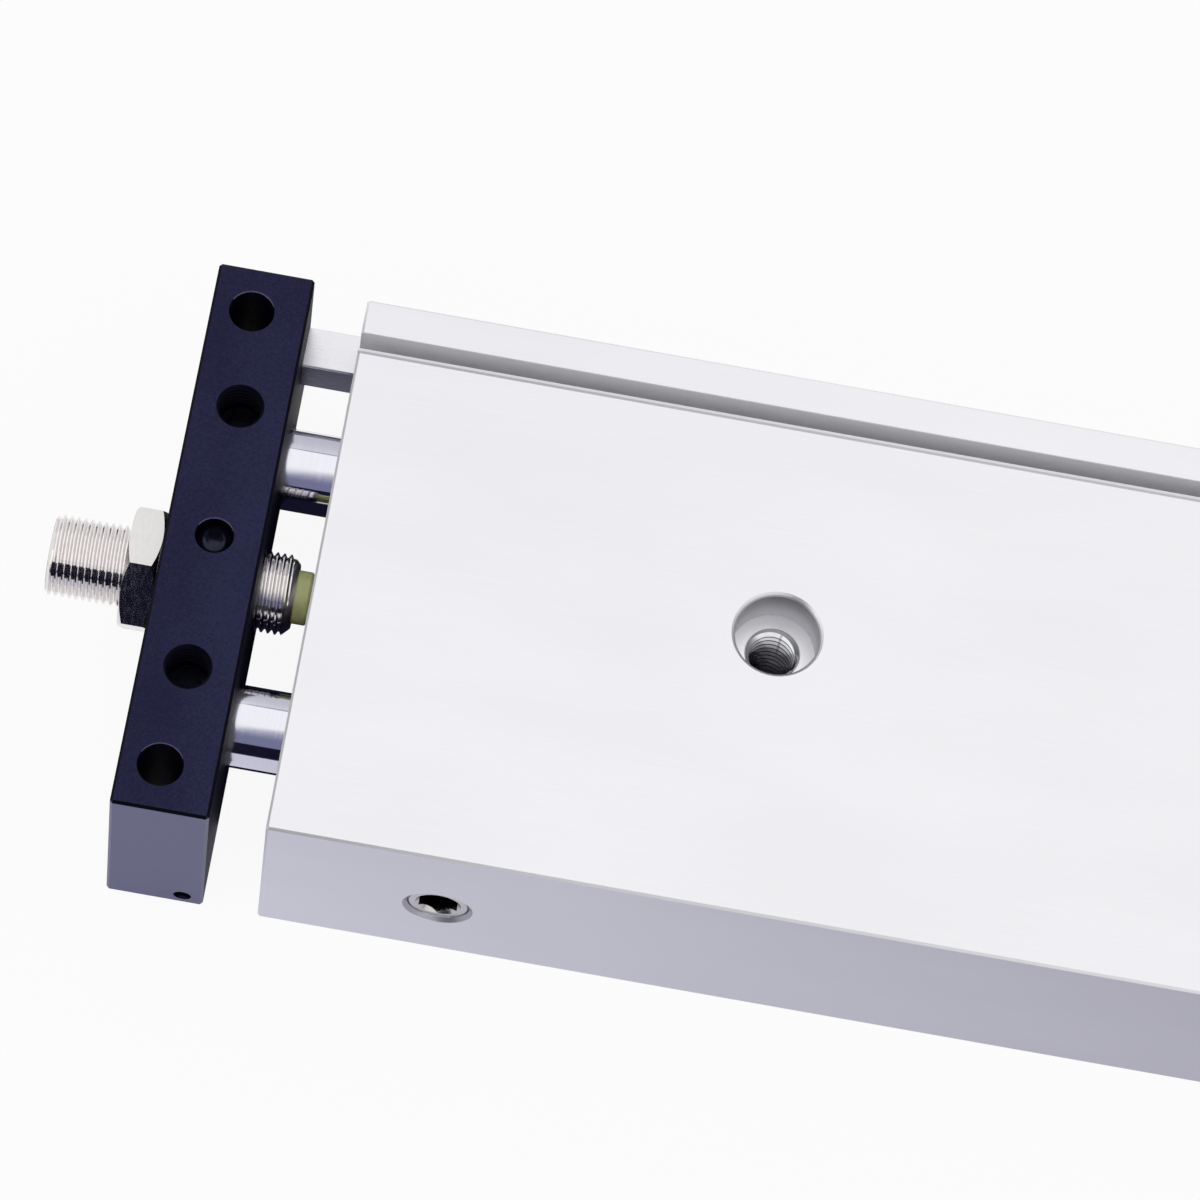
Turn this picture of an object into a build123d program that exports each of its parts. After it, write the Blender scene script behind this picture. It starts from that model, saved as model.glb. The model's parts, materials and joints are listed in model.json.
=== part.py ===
from build123d import *
import math
import os

# Pneumatic slide table with two through rods.
# A flat aluminium body holds two cylinders side by side. A hollow rod passes right through
# each of them, and a black plate beyond each end of the body ties the two rods together, so
# plates, rods and pistons travel as one carriage. A shock absorber in each plate meets the
# body at that end of the travel.
# All sizes are in millimetres. X runs along the body, Y across it and Z up. The origin lies
# on the body's underside, half way along it, below the mid-line between the rods. The front
# side is at -Y and the back side, with the switch groove and the rail, at +Y.
# As drawn, the carriage is at the right end of its travel: the left plate has closed on the
# body, its absorber is pushed in, and the right plate stands a full stroke away.

# Travel
stroke = 125.0
plate_gap = 8.0
piston_end_play = 0.3

# Cylinders and rods
bore_diameter = 20.0
rod_diameter = 12.0
rod_spacing = 41.5
rod_drop = 1.5
rod_hollow_diameter = 5.0
rod_end_chamfer = 0.8
air_hole_diameter = 2.6
air_hole_to_piston = 2.0
running_clearance = 0.03
seat_clearance = 0.02

# Rod covers, from the end of the body inwards
circlip_inset = 1.4
circlip_groove_width = 1.2
circlip_thickness = 1.1
circlip_groove_depth = 1.0
circlip_band = 1.8
circlip_ear_reach = 3.6
circlip_eye_diameter = 1.5
circlip_mouth_angle = 34.0
circlip_to_groove = 0.04
cover_diameter = 22.0
cover_length = 18.0
cover_to_rod = 0.3
seal_inset = 1.6
seal_width = 4.0
seal_diameter = 17.0
seal_lip_depth = 1.3
seal_lip_gap = 1.0
bush_length = 10.0
bush_diameter = 14.0
bush_inset = 0.4
o_ring_inset = 11.0
o_ring_groove_width = 2.2
o_ring_groove_depth = 1.5
o_ring_section = 1.44
bumper_thickness = 2.0
bumper_wall = 3.1
bumper_to_rod = 0.6

# Pistons
piston_length = 29.2
piston_clearance = 0.1
wear_ring_place = -8.0
wear_ring_width = 4.0
wear_ring_depth = 1.5
piston_seal_place = 6.2
piston_seal_width = 3.4
piston_seal_depth = 2.3
magnet_place = 10.9
magnet_width = 3.0
magnet_depth = 2.5
magnet_below_surface = 0.3
piston_ring_side_gap = 0.05
piston_pin_diameter = 3.0
piston_pin_length = 17.0

# Body
body_height = 33.0
body_edge = 0.35
mounting_hole_inset = 66.0
mounting_hole_diameter = 7.8
counterbore_diameter = 12.2
counterbore_depth = 7.0
counterbore_edge = 0.5
mounting_thread_mouth = 8.0
port_inset = 25.3
port_diameter = 9.0
port_mouth_diameter = 10.2
port_depth = 8.5
port_passage_diameter = 4.0
plug_length = 6.5
plug_edge = 0.3
plug_key_width = 5.5
plug_key_depth = 4.0
plug_key_mouth = 6.6
plug_key_turn = 30.0

# Switch groove along the top of the body
strip_width = 5.45
groove_width = 2.35
groove_depth = 5.2
groove_cavity_diameter = 4.6
groove_cavity_depth = 9.5
groove_far_edge = 0.1
groove_ledge_width = 0.4
groove_ledge_depth = 0.35
groove_slope_width = 0.6

# Rail between the plates, and its channel in the back of the body
rail_width = 6.5
rail_height = 6.35
rail_proud = 0.8
rail_wall = 2.2
rail_seat_depth = 3.0
rail_edge = 0.25
rail_running_gap = 0.45

# End plates
plate_thickness = 14.0
plate_overhang = 1.9
plate_to_body_face = 0.3
plate_edge = 0.4
rod_seat_depth = 11.0
plate_bolt_diameter = 6.6
plate_bolt_inset = 6.9
plate_bolt_offset = 1.1
clamp_screw_diameter = 6.8
clamp_screw_length = 6.0
clamp_key_width = 4.0
clamp_key_depth = 3.0
clamp_flat_depth = 0.4
lock_screw_diameter = 5.6
lock_screw_length = 9.2
lock_key_width = 2.5
lock_key_depth = 2.0
lock_dome_height = 1.2
passage_diameter = 2.6
riser_diameter = 2.0
passage_to_inner_face = 3.0
passage_height = 2.9
ball_recess = 1.0
plate_port_diameter = 4.2
plate_port_depth = 6.0
plate_port_inset = 13.2
plate_port_height = 4.3

# Shock absorbers
absorber_rise = 0.3
absorber_thread_diameter = 11.8
absorber_thread_depth = 0.54
absorber_pitch = 1.0
absorber_mouth_chamfer = 1.2
absorber_back_chamfer = 0.5
absorber_inner_reach = 5.3
absorber_outer_reach = 16.3
absorber_bore_diameter = 8.2
absorber_back_wall = 4.0
absorber_key_width = 4.0
absorber_key_depth = 2.0
absorber_travel = 7.0
nut_key_width = 17.0
nut_thickness = 5.2
nut_corner = 0.8
nut_collar_diameter = 15.8
nut_collar_height = 0.5
nut_turn = -9.7
cap_diameter = 7.8
cap_length = 6.0
cap_showing = 2.2
cap_edge = 0.3
plunger_diameter = 3.0
plunger_into_cap = 3.0
plunger_length = 25.2
plunger_head_diameter = 7.6
plunger_head_length = 3.0
guide_inset = 12.0
guide_length = 4.0
spring_diameter = 6.8
spring_wire = 0.4
spring_turns = 4.5

# Places that follow from the sizes above
rod_radius = rod_diameter / 2
bore_radius = bore_diameter / 2
mid_height = body_height / 2
rod_height = mid_height - rod_drop
absorber_height = mid_height + absorber_rise
absorber_axis = (0.0, absorber_height)
cover_seat_reach = rod_spacing / 2 + cover_diameter / 2 + circlip_groove_depth
rail_front = cover_seat_reach + rail_wall + rail_running_gap
rail_back = rail_front + rail_width
body_back = rail_back - rail_proud
plate_half_width = body_back + plate_overhang
body_front = plate_half_width
plate_bolt_place = plate_half_width - plate_bolt_inset
plate_port_place = plate_half_width - plate_port_inset
cover_start = circlip_inset + circlip_groove_width
cover_end = cover_start + cover_length
chamber_start = cover_end + bumper_thickness
body_length = stroke + piston_length + 2 * (chamber_start + piston_end_play)
half_body = body_length / 2
left_plate_face = -(half_body + plate_gap)
right_plate_face = half_body + plate_gap + stroke
piston_middle = (left_plate_face + right_plate_face) / 2
absorber_length = absorber_inner_reach + plate_thickness + absorber_outer_reach
groove_far_wall = body_back - strip_width
groove_near_wall = groove_far_wall - groove_width
plate_bottom = plate_to_body_face
plate_top = body_height - plate_to_body_face
cut_margin = 1.0

SIDES = {"left": -1, "right": 1}
LANES = {"front": -1, "back": 1}


def save(node, *shapes):
    """Write every solid of the shapes as one named sub-part."""
    solids = [solid for shape in shapes for solid in shape.solids()]
    export_step(Compound(solids), f"parts/{node}.step")


def along_x(diameter, start, end, axis):
    """A round bar parallel to X, round an axis given by its place in Y and Z."""
    return Pos((start + end) / 2, *axis) * Rot(0, 90, 0) * Cylinder(diameter / 2, abs(end - start))


def along_y(diameter, start, end, x, z):
    """A round bar parallel to Y."""
    return Pos(x, (start + end) / 2, z) * Rot(90, 0, 0) * Cylinder(diameter / 2, abs(end - start))


def along_z(diameter, start, end, x, y):
    """A round bar parallel to Z."""
    return Pos(x, y, (start + end) / 2) * Cylinder(diameter / 2, abs(end - start))


def tube(outer, inner, start, end, axis):
    """A ring round an axis parallel to X, between two places along X."""
    return along_x(outer, start, end, axis) - along_x(inner, start, end, axis)


def block(start, end):
    """A box between two opposite corners."""
    size = [abs(b - a) for a, b in zip(start, end)]
    middle = [(a + b) / 2 for a, b in zip(start, end)]
    return Pos(*middle) * Box(*size)


def turned(points, axis):
    """A turned piece: points are (place along X, radius), spun round an axis parallel to X."""
    first, last = points[0], points[-1]
    outline = Polyline((first[0], 0), *points, (last[0], 0), close=True)
    return Pos(0, *axis) * revolve(make_face(outline), Axis.X)


def hexagon_key(key_width, depth):
    """A hexagon socket cutter that stands on the XY plane, pointing up."""
    return extrude(RegularPolygon(key_width / 2, 6, major_radius=False), depth)


def from_end(side, inset):
    """The place along X that lies an inset inside one end of the body."""
    return side * (half_body - inset)


def rod_y(lane):
    """The place across the body of one rod axis."""
    return lane * rod_spacing / 2


def rod_axis(lane):
    """One rod axis, as its place in Y and Z."""
    return rod_y(lane), rod_height


def plate_face(side):
    """The place along X of a plate's inner face, which looks at the body."""
    return left_plate_face if side < 0 else right_plate_face


def from_plate(side, depth):
    """The place along X that lies a depth outwards from a plate's inner face."""
    return plate_face(side) + side * depth


def in_absorber(side, depth):
    """The place along X that lies a depth inside an absorber, from its mouth."""
    return from_plate(side, depth - absorber_inner_reach)


# Body


def groove_cutter():
    """The switch groove: a sloped ledge, a straight slot and a round cavity below it."""
    ledge_end = groove_near_wall - groove_ledge_width
    slope_end = ledge_end - groove_slope_width
    outline = Polyline(
        (groove_far_wall + groove_far_edge, body_height + cut_margin),
        (groove_far_wall + groove_far_edge, body_height),
        (groove_far_wall, body_height - groove_far_edge),
        (groove_far_wall, body_height - groove_depth),
        (groove_near_wall, body_height - groove_depth),
        (groove_near_wall, body_height - groove_ledge_depth),
        (ledge_end, body_height - groove_ledge_depth),
        (slope_end, body_height),
        (slope_end, body_height + cut_margin),
        close=True,
    )
    start_plane = Plane.YZ.offset(-half_body - cut_margin)
    slot = extrude(start_plane * make_face(outline), body_length + 2 * cut_margin)
    cavity_middle = groove_near_wall + groove_width / 2
    cavity_height = body_height - groove_cavity_depth + groove_cavity_diameter / 2
    cavity_axis = (cavity_middle, cavity_height)
    cavity = along_x(groove_cavity_diameter, -half_body - cut_margin, half_body + cut_margin, cavity_axis)
    neck = block(
        (-half_body - cut_margin, groove_near_wall, cavity_height),
        (half_body + cut_margin, groove_far_wall, body_height - groove_depth + cut_margin),
    )
    return slot + neck + cavity


def rail_channel_cutter():
    """The channel in the body's back side that the rail runs through."""
    half_height = rail_height / 2 + rail_running_gap
    return block(
        (-half_body - cut_margin, rail_front - rail_running_gap, mid_height - half_height),
        (half_body + cut_margin, body_back + cut_margin, mid_height + half_height),
    )


def mouth_flare(x, start, inwards, wide, narrow):
    """The 45 degree flare of an upright hole, from its wide mouth inwards."""
    depth = wide - narrow
    low, high = (wide, narrow) if inwards > 0 else (narrow, wide)
    return Pos(x, 0, start + inwards * depth / 2) * Cone(low, high, depth)


def mounting_hole_cutter(x):
    """A tapped through hole with the same counterbore and flared mouths at both ends."""
    cutter = along_z(mounting_hole_diameter, 0, body_height, x, 0)
    rim, mouth, hole = counterbore_diameter / 2, mounting_thread_mouth / 2, mounting_hole_diameter / 2
    for end, inwards in ((0.0, 1), (body_height, -1)):
        floor = end + inwards * counterbore_depth
        cutter += along_z(counterbore_diameter, end - inwards * cut_margin, floor, x, 0)
        cutter += mouth_flare(x, end, inwards, rim + counterbore_edge, rim)
        cutter += mouth_flare(x, floor, inwards, mouth, hole)
    return cutter


def port_mouth_depth():
    """How far the flared mouth of a body port goes in, at 45 degrees."""
    return (port_mouth_diameter - port_diameter) / 2


def front_flare(x, face, wide, narrow):
    """The 45 degree flare of a hole in a face that looks to the front, from its mouth inwards."""
    depth = wide - narrow
    return Pos(x, face + depth / 2, rod_height) * Rot(-90, 0, 0) * Cone(wide, narrow, depth)


def port_cutter(side):
    """A side port with a flared mouth, and the passage from it to the front cylinder."""
    x = from_end(side, port_inset)
    cutter = along_y(port_diameter, -body_front - cut_margin, -body_front + port_depth, x, rod_height)
    cutter += along_y(port_passage_diameter, -body_front, rod_y(-1), x, rod_height)
    return cutter + front_flare(x, -body_front, port_mouth_diameter / 2, port_diameter / 2)


def cylinder_cutter(lane):
    """One cylinder bore, its two cover seats and their circlip grooves."""
    axis = rod_axis(lane)
    cutter = along_x(bore_diameter, -half_body, half_body, axis)
    groove_diameter = cover_diameter + 2 * circlip_groove_depth
    for side in SIDES.values():
        cutter += along_x(cover_diameter, from_end(side, cover_end), from_end(side, -cut_margin), axis)
        cutter += along_x(groove_diameter, from_end(side, cover_start), from_end(side, circlip_inset), axis)
    return cutter


def body_extrusion():
    """The extruded and machined body."""
    body = block((-half_body, -body_front, 0), (half_body, body_back, body_height))
    body = chamfer(body.edges(), body_edge)
    cutters = [groove_cutter(), rail_channel_cutter()]
    cutters += [cylinder_cutter(lane) for lane in LANES.values()]
    for side in SIDES.values():
        cutters.append(mounting_hole_cutter(from_end(side, mounting_hole_inset)))
        cutters.append(port_cutter(side))
    for cutter in cutters:
        body -= cutter
    return body


def port_plug(side):
    """A round plug that closes a body port, with a countersunk hexagon socket."""
    x = from_end(side, port_inset)
    face = -body_front + port_mouth_depth()
    diameter = port_diameter - 2 * seat_clearance
    plug = chamfer(along_y(diameter, face, face + plug_length, x, rod_height).edges(), plug_edge)
    key = Pos(x, face + plug_key_depth, rod_height) * Rot(90, 0, 0) * Rot(0, 0, plug_key_turn)
    plug -= key * hexagon_key(plug_key_width, plug_length)
    return plug - front_flare(x, face, plug_key_mouth / 2, 0.0)


# Covers at the ends of the cylinders


def rod_cover(side, lane):
    """The ring that closes a cylinder end and holds the bush and the rod seal."""
    axis = rod_axis(lane)
    start, end = from_end(side, cover_start), from_end(side, cover_end)
    cover = tube(cover_diameter - 2 * seat_clearance, rod_diameter + 2 * cover_to_rod, start, end, axis)
    seal_start = from_end(side, cover_start + seal_inset)
    cover -= along_x(seal_diameter, seal_start, seal_start - side * seal_width, axis)
    bush_start = cover_end - bush_inset - bush_length
    cover -= along_x(bush_diameter, from_end(side, bush_start), end, axis)
    groove_start = cover_start + o_ring_inset
    groove_end = groove_start + o_ring_groove_width
    groove_bottom = cover_diameter - 2 * o_ring_groove_depth
    return cover - tube(
        cover_diameter, groove_bottom, from_end(side, groove_start), from_end(side, groove_end), axis
    )


def rod_seal(side, lane):
    """The rubber lip ring that keeps the air in along the rod."""
    start = cover_start + seal_inset + seat_clearance
    end = start + seal_width - 2 * seat_clearance
    outer = seal_diameter - 2 * seat_clearance
    inner = rod_diameter + 2 * running_clearance
    seal = tube(outer, inner, from_end(side, start), from_end(side, end), rod_axis(lane))
    middle = (outer + inner) / 2
    groove_start, groove_end = from_end(side, end - seal_lip_depth), from_end(side, end)
    return seal - tube(
        middle + seal_lip_gap, middle - seal_lip_gap, groove_start, groove_end, rod_axis(lane)
    )


def rod_bush(side, lane):
    """The plain bearing that the rod slides in."""
    end = cover_end - bush_inset
    start = end - bush_length + seat_clearance
    outer = bush_diameter - 2 * seat_clearance
    inner = rod_diameter + 2 * running_clearance
    return tube(outer, inner, from_end(side, start), from_end(side, end), rod_axis(lane))


def cover_o_ring(side, lane):
    """The O-ring between the cover and its seat."""
    middle = cover_start + o_ring_inset + o_ring_groove_width / 2
    radius = cover_diameter / 2 - seat_clearance - o_ring_section / 2
    ring = Torus(radius, o_ring_section / 2)
    return Pos(from_end(side, middle), *rod_axis(lane)) * Rot(0, 90, 0) * ring


def circlip(side, lane):
    """The open spring ring, with two eared ends, that holds the cover in."""
    outer = cover_diameter + 2 * circlip_groove_depth - 2 * circlip_to_groove
    inner = outer - 2 * circlip_band
    reach = outer / 2 - circlip_ear_reach
    ring = Circle(outer / 2) - Circle(inner / 2)
    ear_middle = outer / 2 - circlip_ear_reach / 2
    for turn in (-1, 1):
        angle = 90 + turn * circlip_mouth_angle / 2
        ear = Rot(0, 0, angle) * Pos(ear_middle, 0) * Circle(circlip_ear_reach / 2)
        eye = Rot(0, 0, angle) * Pos(ear_middle, 0) * Circle(circlip_eye_diameter / 2)
        ring = ring + ear - eye
    mouth_width = reach * math.sin(math.radians(circlip_mouth_angle / 2))
    ring -= Pos(0, outer / 2) * Rectangle(mouth_width, 2 * circlip_ear_reach + circlip_band)
    gap = (circlip_groove_width - circlip_thickness) / 2
    near = from_end(side, circlip_inset + gap)
    start = near if side < 0 else near - circlip_thickness
    return Pos(start, *rod_axis(lane)) * extrude(Plane.YZ * ring, circlip_thickness)


def bumper(side, lane):
    """The rubber ring that the piston rests against at its end of the cylinder."""
    inner = rod_diameter + 2 * bumper_to_rod
    start, end = from_end(side, cover_end), from_end(side, chamber_start)
    return tube(inner + 2 * bumper_wall, inner, start, end, rod_axis(lane))


# Carriage: rods, pistons, plates and rail


def rod(lane):
    """A hollow through rod: solid at the piston, with air holes each side of it."""
    y, axis = rod_y(lane), rod_axis(lane)
    bar = along_x(rod_diameter, from_plate(-1, rod_seat_depth), from_plate(1, rod_seat_depth), axis)
    bar = chamfer(bar.edges(), rod_end_chamfer)
    for side in SIDES.values():
        rod_end = from_plate(side, rod_seat_depth)
        at_piston = piston_middle + side * (piston_length / 2 + air_hole_to_piston)
        hollow_end = at_piston - side * air_hole_diameter / 2
        bar -= along_x(rod_hollow_diameter, rod_end, hollow_end, axis)
        bar -= along_z(air_hole_diameter, rod_height, rod_height + rod_radius, at_piston, y)
        inlet_x = from_plate(side, passage_to_inner_face)
        bar -= along_z(air_hole_diameter, rod_height - rod_radius, rod_height, inlet_x, y)
        flat_middle = from_plate(side, plate_thickness / 2)
        flat_half = clamp_screw_diameter / 2
        bar -= block(
            (flat_middle - flat_half, y - rod_radius, rod_height + rod_radius - clamp_flat_depth),
            (flat_middle + flat_half, y + rod_radius, rod_height + rod_radius + cut_margin),
        )
    pin_hole = piston_pin_diameter + 2 * seat_clearance
    return bar - along_z(pin_hole, rod_height - bore_radius, rod_height + bore_radius, piston_middle, y)


def piston_groove(place, width, depth, lane):
    """A ring-shaped cutter round the piston for a ring of that width and depth."""
    middle = piston_middle + place
    surface = bore_diameter - 2 * piston_clearance
    return tube(
        surface + cut_margin, surface - 2 * depth, middle - width / 2, middle + width / 2, rod_axis(lane)
    )


def piston(lane):
    """The piston, with grooves for its wear ring, seal and magnet."""
    surface = bore_diameter - 2 * piston_clearance
    start, end = piston_middle - piston_length / 2, piston_middle + piston_length / 2
    body = tube(surface, rod_diameter + 2 * seat_clearance, start, end, rod_axis(lane))
    body -= piston_groove(wear_ring_place, wear_ring_width, wear_ring_depth, lane)
    body -= piston_groove(piston_seal_place, piston_seal_width, piston_seal_depth, lane)
    body -= piston_groove(magnet_place, magnet_width, magnet_depth, lane)
    pin_hole = piston_pin_diameter + 2 * seat_clearance
    low, high = rod_height - bore_radius, rod_height + bore_radius
    return body - along_z(pin_hole, low, high, piston_middle, rod_y(lane))


def piston_ring(place, width, depth, outer, lane):
    """A ring that fills one of the piston's grooves, out to its own diameter."""
    middle = piston_middle + place
    half = width / 2 - piston_ring_side_gap
    inner = bore_diameter - 2 * piston_clearance - 2 * depth + 2 * seat_clearance
    return tube(outer, inner, middle - half, middle + half, rod_axis(lane))


def wear_ring(lane):
    """The plastic band that the piston slides on."""
    return piston_ring(
        wear_ring_place, wear_ring_width, wear_ring_depth, bore_diameter - 2 * running_clearance, lane
    )


def piston_seal(lane):
    """The rubber ring that seals the piston both ways."""
    return piston_ring(
        piston_seal_place, piston_seal_width, piston_seal_depth, bore_diameter - 2 * running_clearance, lane
    )


def piston_magnet(lane):
    """The magnet ring that a switch in the body's groove senses."""
    outer = bore_diameter - 2 * piston_clearance - 2 * magnet_below_surface
    return piston_ring(magnet_place, magnet_width, magnet_depth, outer, lane)


def piston_pin(lane):
    """The cross pin that fixes a piston to its rod."""
    half = piston_pin_length / 2
    return along_z(piston_pin_diameter, rod_height - half, rod_height + half, piston_middle, rod_y(lane))


def rail_corners(side):
    """The two opposite corners of the rail's end seat in a plate."""
    low = (plate_face(side) - side * cut_margin, rail_front, mid_height - rail_height / 2)
    high = (from_plate(side, rail_seat_depth), rail_back, mid_height + rail_height / 2)
    return low, high


def end_plate(side):
    """A black plate that carries both rods, the rail's end and the shock absorber."""
    inner, outer = plate_face(side), from_plate(side, plate_thickness)
    plate = block((inner, -plate_half_width, plate_bottom), (outer, plate_half_width, plate_top))
    plate = chamfer(plate.edges(), plate_edge)
    middle = from_plate(side, plate_thickness / 2)
    passage_x = from_plate(side, passage_to_inner_face)
    above = plate_top + cut_margin
    beyond = from_plate(side, plate_thickness + cut_margin)
    within = inner - side * cut_margin

    plate -= along_x(absorber_thread_diameter + 2 * running_clearance, within, beyond, absorber_axis)
    plate -= along_z(lock_screw_diameter, absorber_height, above, middle, 0)
    for lane in LANES.values():
        y = rod_y(lane)
        seat_end = from_plate(side, rod_seat_depth + seat_clearance)
        plate -= along_x(rod_diameter + 2 * seat_clearance, within, seat_end, rod_axis(lane))
        plate -= along_z(clamp_screw_diameter, rod_height, above, middle, y)
        plate -= along_z(riser_diameter, passage_height, rod_height, passage_x, y)
        bolt_x, bolt_y = middle + side * plate_bolt_offset, lane * plate_bolt_place
        plate -= along_z(plate_bolt_diameter, plate_bottom - cut_margin, above, bolt_x, bolt_y)

    reach = plate_half_width + cut_margin
    plate -= along_y(passage_diameter, -reach, reach, passage_x, passage_height)
    port_bottom = from_plate(side, plate_thickness - plate_port_depth)
    port_axis = (plate_port_place, plate_port_height)
    plate -= along_x(plate_port_diameter, beyond, port_bottom, port_axis)
    plate -= along_x(passage_diameter, port_bottom, passage_x, port_axis)
    return plate - block(*rail_corners(side))


def rail():
    """The square rail that ties the two plates together along the back."""
    low = (from_plate(-1, rail_seat_depth), rail_front, mid_height - rail_height / 2)
    high = (from_plate(1, rail_seat_depth), rail_back, mid_height + rail_height / 2)
    bar = block(low, high)
    return chamfer(bar.edges().filter_by(Axis.X), rail_edge)


def clamp_screw(side, lane):
    """A set screw that presses on the flat of a rod inside its plate."""
    x, y = from_plate(side, plate_thickness / 2), rod_y(lane)
    low = rod_height + rod_radius - clamp_flat_depth
    high = low + clamp_screw_length
    screw = along_z(clamp_screw_diameter - 2 * seat_clearance, low, high, x, y)
    screw = chamfer(screw.edges(), clamp_flat_depth)
    key = hexagon_key(clamp_key_width, clamp_key_depth + cut_margin)
    return screw - Pos(x, y, high - clamp_key_depth) * key


def lock_screw(side):
    """The domed set screw that locks the absorber's thread from above."""
    x = from_plate(side, plate_thickness / 2)
    radius = lock_screw_diameter / 2 - seat_clearance
    low = absorber_height + absorber_thread_diameter / 2 + seat_clearance
    high = low + lock_screw_length
    shank = along_z(2 * radius, low, high, x, 0)
    dome_radius = (radius**2 + lock_dome_height**2) / (2 * lock_dome_height)
    dome = Pos(x, 0, high - dome_radius) * Sphere(dome_radius)
    screw = shank & (dome + along_z(2 * radius, low, high - lock_dome_height, x, 0))
    key = hexagon_key(lock_key_width, lock_key_depth + cut_margin)
    return screw - Pos(x, 0, high - lock_key_depth) * key


def passage_balls(side):
    """The two balls that seal the drilled ends of a plate's air passage."""
    diameter = passage_diameter - 2 * seat_clearance
    reach = plate_half_width - ball_recess - diameter / 2
    x = from_plate(side, passage_to_inner_face)
    return [Pos(x, lane * reach, passage_height) * Sphere(diameter / 2) for lane in LANES.values()]


# Shock absorbers


def absorber_sleeve(side):
    """The threaded sleeve, drawn with ring-shaped thread grooves, and a socket in its closed end."""
    crest = absorber_thread_diameter / 2
    root = crest - absorber_thread_depth
    first = absorber_mouth_chamfer
    turns = int((absorber_length - absorber_mouth_chamfer - absorber_back_chamfer) / absorber_pitch)
    outline = [(0, crest - absorber_mouth_chamfer), (first, crest)]
    for turn in range(turns):
        start = first + turn * absorber_pitch
        outline.append((start + absorber_pitch / 2, root))
        outline.append((start + absorber_pitch, crest))
    outline.append((absorber_length - absorber_back_chamfer, crest))
    outline.append((absorber_length, crest - absorber_back_chamfer))
    sleeve = turned([(in_absorber(side, depth), radius) for depth, radius in outline], absorber_axis)
    bore_end = in_absorber(side, absorber_length - absorber_back_wall)
    sleeve -= along_x(absorber_bore_diameter, in_absorber(side, -cut_margin), bore_end, absorber_axis)
    key_end = in_absorber(side, absorber_length - absorber_key_depth)
    key = Rot(0, 90 * side, 0) * hexagon_key(absorber_key_width, absorber_key_depth + cut_margin)
    return sleeve - Pos(key_end, *absorber_axis) * key


def lock_nut(side):
    """The hexagon nut that locks the absorber, with a round collar against the plate."""
    start = from_plate(side, plate_thickness)
    end = start + side * nut_thickness
    corner_radius = nut_key_width / 2 / math.cos(math.radians(30))
    face_radius = nut_key_width / 2
    bevel = side * nut_corner
    collar_end = start + side * nut_collar_height
    outline = [
        (start, nut_collar_diameter / 2),
        (collar_end, nut_collar_diameter / 2),
        (collar_end, face_radius),
        (collar_end + bevel, corner_radius),
        (end - bevel, corner_radius),
        (end, face_radius),
    ]
    hexagon = Plane.YZ * Rot(0, 0, nut_turn) * RegularPolygon(nut_key_width / 2, 6, major_radius=False)
    bar = Pos(min(start, end), *absorber_axis) * extrude(hexagon, nut_thickness)
    hole = along_x(absorber_thread_diameter + 2 * running_clearance, start, end, absorber_axis)
    return (bar & turned(outline, absorber_axis)) - hole


def absorber_guide(side):
    """The sealed guide ring inside the sleeve that the plunger slides in."""
    outer = absorber_bore_diameter - 2 * seat_clearance
    inner = plunger_diameter + 2 * running_clearance
    start = in_absorber(side, guide_inset)
    return tube(outer, inner, start, in_absorber(side, guide_inset + guide_length), absorber_axis)


def plunger_extension(side):
    """How far a plunger stands out as drawn: the left one is pushed in."""
    return 0.0 if side < 0 else absorber_travel


def plunger_cap(side):
    """The urethane cap that meets the body."""
    tip = -cap_showing - plunger_extension(side)
    start, end = in_absorber(side, tip), in_absorber(side, tip + cap_length)
    cap = chamfer(along_x(cap_diameter, start, end, absorber_axis).edges(), cap_edge)
    hole_start = in_absorber(side, tip + cap_length - plunger_into_cap - seat_clearance)
    return cap - along_x(plunger_diameter + 2 * seat_clearance, hole_start, end, absorber_axis)


def plunger(side):
    """The plunger rod and the piston head at its inner end."""
    start = cap_length - plunger_into_cap - cap_showing - plunger_extension(side)
    end = start + plunger_length
    stem = along_x(plunger_diameter, in_absorber(side, start), in_absorber(side, end), absorber_axis)
    head_end = in_absorber(side, end + plunger_head_length)
    return stem + along_x(plunger_head_diameter, in_absorber(side, end), head_end, absorber_axis)


def plunger_spring(side):
    """The spring behind the plunger's head that pushes it out."""
    head = cap_length - plunger_into_cap - cap_showing - plunger_extension(side)
    start = head + plunger_length + plunger_head_length + spring_wire / 2 + seat_clearance
    end = absorber_length - absorber_back_wall - spring_wire / 2 - seat_clearance
    height = end - start
    coil_radius = spring_diameter / 2 - spring_wire / 2
    path = Helix(height / spring_turns, height, coil_radius)
    section = Plane(path @ 0, z_dir=path % 0) * Circle(spring_wire / 2)
    coil = sweep(section, path=path)
    low = min(in_absorber(side, start), in_absorber(side, end))
    return Pos(low, *absorber_axis) * Rot(0, 90, 0) * coil


os.makedirs("parts", exist_ok=True)

save("body_extrusion", body_extrusion())
save("rail", rail())
save("piston_pins", *[piston_pin(lane) for lane in LANES.values()])

for lane_name, lane in LANES.items():
    save(f"rod_{lane_name}", rod(lane))
    save(f"piston_{lane_name}", piston(lane))
    save(f"piston_seal_{lane_name}", piston_seal(lane))
    save(f"wear_ring_{lane_name}", wear_ring(lane))
    save(f"piston_magnet_{lane_name}", piston_magnet(lane))

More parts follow.
